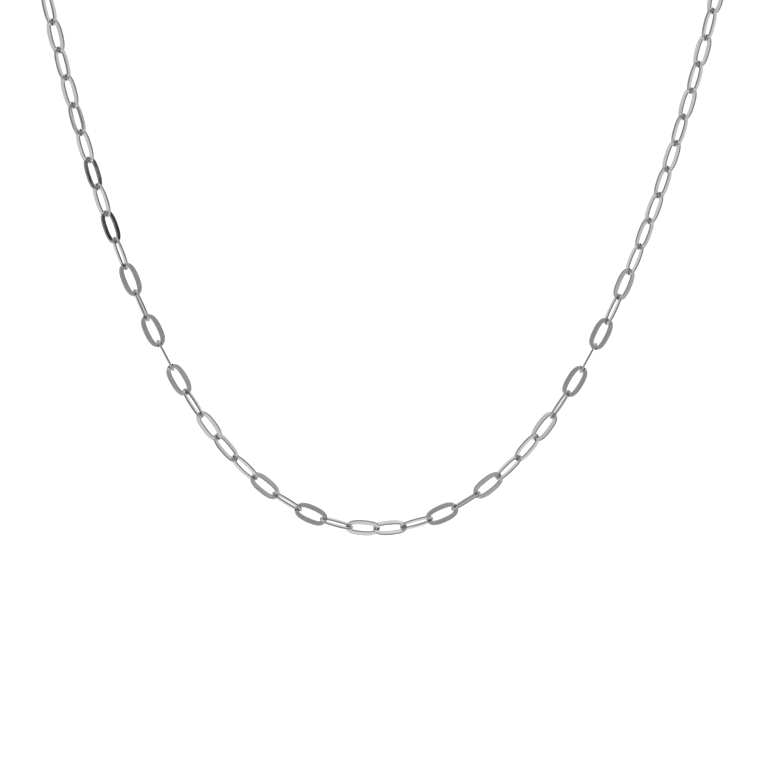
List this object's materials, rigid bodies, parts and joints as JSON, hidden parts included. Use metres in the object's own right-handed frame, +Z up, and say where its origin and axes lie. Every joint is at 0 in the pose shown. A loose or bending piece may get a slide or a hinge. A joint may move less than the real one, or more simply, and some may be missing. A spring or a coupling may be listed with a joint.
{
  "type": "paperclip chain necklace",
  "caption": "Fine paperclip chain necklace of long flattened oval links in polished white metal, hanging as a loop and closed at the nape by a bolt ring",
  "frame": {"origin": "where the necklace hangs on the wearer: the point on the clasp's inner face that lies against the nape, midway between the two ends of the chain", "axes": "+Z up, +Y to the wearer's back, away from a viewer in front, and +X to that viewer's right, which is the wearer's left"},
  "size_m": [0.1224, 0.0817, 0.1379],
  "materials": {
    "links": "polished white metal with fine drawn streaks along the wire",
    "clasp": "polished white metal, smooth"
  },
  "bodies": {
    "root": {"chain_left": "links", "chain_right": "links", "clasp": "clasp"}
  },
  "joints": []
}
